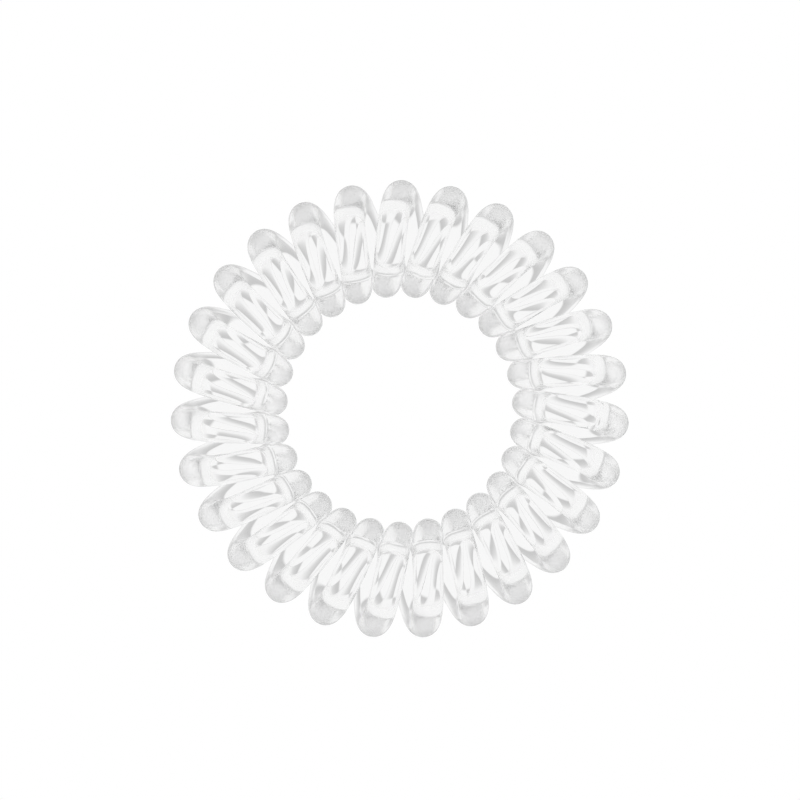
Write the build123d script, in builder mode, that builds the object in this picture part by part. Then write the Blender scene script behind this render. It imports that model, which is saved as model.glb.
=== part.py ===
from build123d import *
from math import cos, pi, radians, sin, tan
import os

# A spiral hair tie: one strand of clear soft plastic, wound into a nearly round coil whose two ends
# are fused together, so that the coil closes on itself as a ring.
# Frame: the ring lies flat on z = 0 with +Z up, and its centre is over the origin.

# Driving dimensions, in millimetres and degrees
OUTER_DIAMETER = 40.0  # across the ring, over the outer tips of the turns
OPENING_DIAMETER = 19.6  # across the hole, between the inner tips of the turns
COIL_HEIGHT = 9.4  # of the coil where it lies, a little less than its width across the ring
STRAND_DIAMETER = 2.52
TURN_COUNT = 27
WELDED_TIP_ANGLE = -3.8  # of the outer tip beside the weld, from +X towards +Y
WELD_LENGTH = 0.2  # of the low ridge where the strand's ends are fused
WELD_HEIGHT = 0.03  # of the ridge over the strand

# The strand's route is a chain of straight runs with a rounded corner between each two.
CORNERS_PER_TURN = 8
ROUNDED_SHARE = 0.45  # of a run, taken up by the rounding at each of its ends

# Worked out from them
ring_radius = (OUTER_DIAMETER + OPENING_DIAMETER) / 4
coil_width = (OUTER_DIAMETER - OPENING_DIAMETER) / 2
half_corner = pi / CORNERS_PER_TURN
# A rounded corner passes inside its point, so the points stand a little outside the strand's centre line.
outset = 1 / (1 - 2 * ROUNDED_SHARE * (1 - cos(half_corner)))
corner_reach = outset * (coil_width - STRAND_DIAMETER) / 2  # from the coil's axis, across the ring
corner_rise = outset * (COIL_HEIGHT - STRAND_DIAMETER) / 2  # from the coil's axis, upward
corner_count = TURN_COUNT * CORNERS_PER_TURN


def route_corner(step):
    """The corner that lies `step` corners after the outer tip beside the weld.

    From an outer tip the strand climbs over the top to an inner tip, and comes back underneath.
    """
    around_coil = 2 * half_corner * step
    around_ring = radians(WELDED_TIP_ANGLE) + around_coil / TURN_COUNT
    from_centre = ring_radius + corner_reach * cos(around_coil)
    height = COIL_HEIGHT / 2 + corner_rise * sin(around_coil)
    return Vector(from_centre * cos(around_ring), from_centre * sin(around_ring), height)


def bend_radius(before, corner, after):
    """The radius at a corner whose rounding takes up its share of the shorter run."""
    run_in = corner - before
    run_out = after - corner
    half_turn = radians(run_in.get_angle(run_out)) / 2
    return ROUNDED_SHARE * min(run_in.length, run_out.length) / tan(half_turn)


corners = [route_corner(step) for step in range(corner_count + 2)]
bend_radii = [bend_radius(*corners[step : step + 3]) for step in range(corner_count)]

# Both ends are in the middle of the first run, which is also the last, and the weld covers them.
weld_plane = Plane(origin=(corners[0] + corners[1]) / 2, z_dir=corners[1] - corners[0])
strand_start = weld_plane.offset(WELD_LENGTH / 4)
strand_end = weld_plane.offset(-WELD_LENGTH / 4)

# The whole tie is this one strand, closed by a weld of its own plastic.
with BuildPart() as spiral_strand:
    with BuildLine() as route:
        FilletPolyline(strand_start.origin, *corners[1:-1], strand_end.origin, radius=bend_radii)
    with BuildSketch(strand_start):
        Circle(STRAND_DIAMETER / 2)
    sweep()
    with BuildSketch(weld_plane):
        Circle(STRAND_DIAMETER / 2 + WELD_HEIGHT)
    extrude(amount=WELD_LENGTH / 2, both=True)
spiral_strand.part.label = "spiral_strand"

os.makedirs("parts", exist_ok=True)
export_step(spiral_strand.part, "parts/spiral_strand.step")

strand_length = route.wire().length + WELD_LENGTH / 2
strand_section = pi * STRAND_DIAMETER**2 / 4
print(f"bends: {len(bend_radii)}, radius {min(bend_radii):.2f} to {max(bend_radii):.2f} mm")
print(f"strand: {strand_length:.1f} mm long, {strand_section * strand_length:.1f} mm3 by its section,")
print(f"        {spiral_strand.part.volume:.1f} mm3 as a solid, valid: {spiral_strand.part.is_valid}")
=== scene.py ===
from math import cos, radians, sin, tau

import bpy
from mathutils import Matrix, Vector


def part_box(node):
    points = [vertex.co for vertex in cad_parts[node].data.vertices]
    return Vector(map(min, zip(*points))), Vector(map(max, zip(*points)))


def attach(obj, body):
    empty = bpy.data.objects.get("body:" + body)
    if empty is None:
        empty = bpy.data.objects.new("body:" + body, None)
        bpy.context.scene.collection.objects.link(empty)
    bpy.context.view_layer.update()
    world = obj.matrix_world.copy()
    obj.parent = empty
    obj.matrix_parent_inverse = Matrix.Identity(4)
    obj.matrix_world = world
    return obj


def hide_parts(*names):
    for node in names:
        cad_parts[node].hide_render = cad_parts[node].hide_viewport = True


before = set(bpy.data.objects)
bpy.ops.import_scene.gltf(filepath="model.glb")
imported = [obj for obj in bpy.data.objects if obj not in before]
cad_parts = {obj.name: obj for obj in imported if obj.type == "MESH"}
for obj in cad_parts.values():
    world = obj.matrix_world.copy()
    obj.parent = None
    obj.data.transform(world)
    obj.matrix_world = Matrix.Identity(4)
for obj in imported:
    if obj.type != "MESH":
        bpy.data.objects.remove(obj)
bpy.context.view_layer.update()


class Shade:
    """One output of a shader node. Arithmetic on it adds the nodes that work it out."""

    def __init__(self, material):
        material.use_nodes = True
        material.node_tree.nodes.clear()
        self.tree = material.node_tree
        self.output = None

    def node(self, kind, settings, sockets, output=0):
        """A new node: its settings first, then a value or a link for each of its sockets named."""
        made = self.tree.nodes.new(kind)
        for name, setting in settings.items():
            setattr(made, name, setting)
        for name, source in sockets.items():
            if isinstance(source, Shade):
                self.tree.links.new(source.output, made.inputs[name])
            else:
                made.inputs[name].default_value = source
        shade = object.__new__(Shade)
        shade.tree = self.tree
        shade.output = made.outputs[output] if made.outputs else None
        return shade

    def math(self, operation, first, second=0.0):
        return self.node("ShaderNodeMath", {"operation": operation}, {0: first, 1: second})

    def between(self, low, high, at_low=0.0, at_high=1.0):
        """Goes smoothly from at_low to at_high while this goes from low to high."""
        sockets = {"Value": self, "From Min": low, "From Max": high, "To Min": at_low, "To Max": at_high}
        return self.node("ShaderNodeMapRange", {"interpolation_type": "SMOOTHSTEP"}, sockets)

    def axis(self, name):
        return self.node("ShaderNodeSeparateXYZ", {}, {"Vector": self}, name)

    def __abs__(self):
        return self.math("ABSOLUTE", self)

    def __add__(self, other):
        return self.math("ADD", self, other)

    def __sub__(self, other):
        return self.math("SUBTRACT", self, other)

    def __rsub__(self, other):
        return self.math("SUBTRACT", other, self)

    def __mul__(self, other):
        return self.math("MULTIPLY", self, other)

    __radd__ = __add__
    __rmul__ = __mul__


# The strand is the whole tie: one round thread of clear, colourless soft plastic, extruded, wound hot
# into a left-handed coil of 27 turns and closed into a ring by fusing its two ends beside an outer tip.
# It lies on its lowest points, and its turns are pressed a little flat where they meet inside the ring.
mm = 0.001
coil_low, coil_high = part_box("spiral_strand")
coil_height = coil_high.z - coil_low.z
outer_radius = 20 * mm
opening_radius = 9.8 * mm
turn_count = 27
strand_radius = 1.34 * mm
pressed_radius = 1.255 * mm
ring_radius = (outer_radius + opening_radius) / 2
winding_reach = (outer_radius - opening_radius) / 2 - strand_radius
winding_rise = coil_height / 2 - strand_radius
tip_beside_weld = radians(-3.8)
weld_turn = 0.106
weld_height = 0.1 * mm
turn_length = 23.1 * mm
pressing_starts = 0.7
fully_pressed = 0.95


def strand_centre(turn):
    """The strand's centre line, that many turns on from the outer tip beside the weld."""
    around_coil = tau * turn
    around_ring = tip_beside_weld + around_coil / turn_count
    from_centre = ring_radius + winding_reach * cos(around_coil)
    height = coil_height / 2 + winding_rise * sin(around_coil)
    return Vector((from_centre * cos(around_ring), from_centre * sin(around_ring), height))


def half_width(turn):
    """Half the strand's width along the ring, less at the inner tips."""
    inward = (-cos(tau * turn) - pressing_starts) / (fully_pressed - pressing_starts)
    inward = min(1, max(0, inward))
    pressed = inward * inward * (3 - 2 * inward)
    return strand_radius + (pressed_radius - strand_radius) * pressed


steps_per_turn = 84
points_round = 42
look_ahead = 0.002
line_stretch = 4
section_count = turn_count * steps_per_turn
points = []
extruded = []
for step in range(section_count):
    turn = weld_turn + step / steps_per_turn
    centre = strand_centre(turn)
    ahead = (strand_centre(turn + look_ahead) - strand_centre(turn - look_ahead)).normalized()
    around_ring = tip_beside_weld + tau * turn / turn_count
    across = cos(tau * turn)
    away = Vector((cos(around_ring) * across, sin(around_ring) * across, sin(tau * turn)))
    away = (away - ahead * away.dot(ahead)).normalized()
    side = ahead.cross(away)
    for point in range(points_round):
        angle = tau * point / points_round
        points.append(centre + away * cos(angle) * strand_radius + side * sin(angle) * half_width(turn))
        drawn_out = step / steps_per_turn * turn_length / line_stretch
        extruded.append((cos(angle) * strand_radius, sin(angle) * strand_radius, drawn_out))
faces = []
for step in range(section_count):
    here = step * points_round
    following = (step + 1) % section_count * points_round
    for point in range(points_round):
        after = (point + 1) % points_round
        faces.append((here + point, here + after, following + after, following + point))
strand_mesh = bpy.data.meshes.new("spiral_strand_clear")
strand_mesh.from_pydata(points, [], faces)
strand_mesh.shade_smooth()
flow = strand_mesh.attributes.new("flow", "FLOAT_VECTOR", "POINT")
for entry, place in zip(flow.data, extruded):
    entry.vector = place
weld = strand_mesh.attributes.new("weld", "FLOAT", "POINT")
for point in range(-points_round, points_round):
    weld.data[point].value = 1

# Extrusion leaves shallow lines along the strand, and the weld a low ridge across it. The tips, which
# rub on each other and on the hair, are a little duller than the rest.
line_fineness = 600
line_depth = 0.12 * mm
clear_dullness = 0.045
tip_dullness = 0.2
bending_of_light = 1.41
clear_plastic = bpy.data.materials.new("clear_plastic")
plastic = Shade(clear_plastic)
along_strand = plastic.node("ShaderNodeAttribute", {"attribute_name": "flow"}, {}, "Vector")
at_weld = plastic.node("ShaderNodeAttribute", {"attribute_name": "weld"}, {}, "Fac")
wave_sockets = {"Vector": along_strand, "Scale": line_fineness, "Detail": 0.0, "Roughness": 0.4}
wave = plastic.node("ShaderNodeTexNoise", {}, wave_sockets)
relief = wave * (1 - at_weld) * line_depth + at_weld * weld_height
uneven = plastic.node("ShaderNodeBump", {}, {"Height": relief, "Strength": 1.0, "Distance": 1.0})
place = plastic.node("ShaderNodeTexCoord", {}, {}, "Object")
level_place = plastic.node("ShaderNodeVectorMath", {"operation": "MULTIPLY"}, {0: place, 1: (1, 1, 0)})
from_middle = plastic.node("ShaderNodeVectorMath", {"operation": "LENGTH"}, {0: level_place}, "Value")
outer_rub = from_middle.between(17.6 * mm, 18.8 * mm)
inner_rub = from_middle.between(10.9 * mm, 11.9 * mm, 1.0, 0.0)
dullness = clear_dullness + (outer_rub + inner_rub) * tip_dullness
surface_sockets = {"Base Color": (1, 1, 1, 1), "Roughness": dullness, "Normal": uneven}
surface_sockets["Transmission Weight"] = 1.0
surface_sockets["IOR"] = bending_of_light
surface = plastic.node("ShaderNodeBsdfPrincipled", {}, surface_sockets)
plastic.node("ShaderNodeOutputMaterial", {}, {"Surface": surface})
strand_mesh.materials.append(clear_plastic)
strand = bpy.data.objects.new("spiral_strand_clear", strand_mesh)
bpy.context.collection.objects.link(strand)
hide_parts("spiral_strand")
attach(strand, "root")

# The tabletop is a plain white sheet, evenly lit. Only the camera sees it: what is seen through the
# plastic is the lower light, as if the tie lay on clear glass.
table_reach = 1.5


def flat_square(name, reach):
    """A level square sheet that reaches that far from its middle on each side."""
    flat = bpy.data.meshes.new(name)
    corners = [(-reach, -reach, 0), (reach, -reach, 0), (reach, reach, 0), (-reach, reach, 0)]
    flat.from_pydata(corners, [], [(0, 1, 2, 3)])
    return flat


table_mesh = flat_square("tabletop", table_reach)
white_sheet = bpy.data.materials.new("white_sheet")
sheet = Shade(white_sheet)
sheet_light = sheet.node("ShaderNodeEmission", {}, {"Color": (1, 1, 1, 1), "Strength": 1.0})
sheet.node("ShaderNodeOutputMaterial", {}, {"Surface": sheet_light})
table_mesh.materials.append(white_sheet)
tabletop = bpy.data.objects.new("tabletop", table_mesh)
bpy.context.collection.objects.link(tabletop)
tabletop.visible_transmission = False
tabletop.visible_glossy = False
tabletop.visible_diffuse = False
tabletop.visible_shadow = False

# The lower light hangs under the table: a square lit window, and beyond each of its sides a dark band
# as wide as the window, which fades outward. Between the bands it is pale.
light_depth = 88 * mm
light_reach = 1.5
window_half = 31.7 * mm
edge_inside = 3 * mm
edge_outside = 2 * mm
band_side = 3 * mm
band_fade = 45 * mm
pale = 0.94
band_darkest = 0.56
band_palest = 0.92
light_mesh = flat_square("lower_light", light_reach)
lower_glow = bpy.data.materials.new("lower_glow")
glow = Shade(lower_glow)
spot = glow.node("ShaderNodeTexCoord", {}, {}, "Object")
farther = glow.math("MAXIMUM", abs(spot.axis("X")), abs(spot.axis("Y")))
nearer = glow.math("MINIMUM", abs(spot.axis("X")), abs(spot.axis("Y")))
in_window = farther.between(window_half - edge_inside, window_half + edge_outside, 1.0, 0.0)
in_band = nearer.between(window_half - band_side, window_half + band_side, 1.0, 0.0)
band_glow = farther.between(window_half, window_half + band_fade, band_darkest, band_palest)
around_window = band_glow * in_band + (1 - in_band) * pale
level = in_window * pale + (1 - in_window) * around_window
light = glow.node("ShaderNodeEmission", {}, {"Color": level, "Strength": 1.0})
glow.node("ShaderNodeOutputMaterial", {}, {"Surface": light})
light_mesh.materials.append(lower_glow)
lower_light = bpy.data.objects.new("lower_light", light_mesh)
lower_light.location = (0, 0, -light_depth)
bpy.context.collection.objects.link(lower_light)

# The studio around it is pale, a little dimmer high up than at the horizon or straight above. A soft
# box on the right and another on the left, at mid-height, are slightly brighter than the wall.
light_bounces = 48
studio = bpy.data.worlds.new("studio")
bpy.context.scene.world = studio
room = Shade(studio)
direction = room.node("ShaderNodeTexCoord", {}, {}, "Generated")
height = direction.axis("Z")
wall = height.between(0.0, 0.3, 0.9, 0.84) + height.between(0.6, 0.87, 0.0, -0.1)
wall = wall + height.between(0.9, 1.0, 0.0, 0.14)
box_light = height.between(0.15, 0.3, 0.02, 0.18) + height.between(0.8, 1.0, 0.0, -0.14)
sideways = (abs(direction.axis("X")) - abs(direction.axis("Y"))).between(-0.2, 0.6)
air = room.node("ShaderNodeBackground", {}, {"Color": wall + box_light * sideways, "Strength": 1.0})
room.node("ShaderNodeOutputWorld", {}, {"Surface": air})
bpy.context.scene.view_settings.view_transform = "Standard"
cycles = bpy.context.scene.cycles
cycles.max_bounces = light_bounces
cycles.transmission_bounces = light_bounces
cycles.glossy_bounces = light_bounces

# The camera hangs straight above the middle of the ring, far enough off that the near and the far side
# of the coil look almost the same size. The tie fills the middle of the picture, a little low in it.
camera_height = 500 * mm
picture_width = 800
outer_radius_in_picture = 229.2
middle_in_picture = (399.83, 409.32)
view = bpy.data.cameras.new("camera")
view.sensor_width = 36
view_width = picture_width * outer_radius / outer_radius_in_picture
view.lens = view.sensor_width * (camera_height - coil_height / 2) / view_width
view.shift_x = (picture_width / 2 - middle_in_picture[0]) / picture_width
view.shift_y = (middle_in_picture[1] - picture_width / 2) / picture_width
camera = bpy.data.objects.new("camera", view)
camera.location = (0, 0, camera_height)
bpy.context.collection.objects.link(camera)
bpy.context.scene.camera = camera
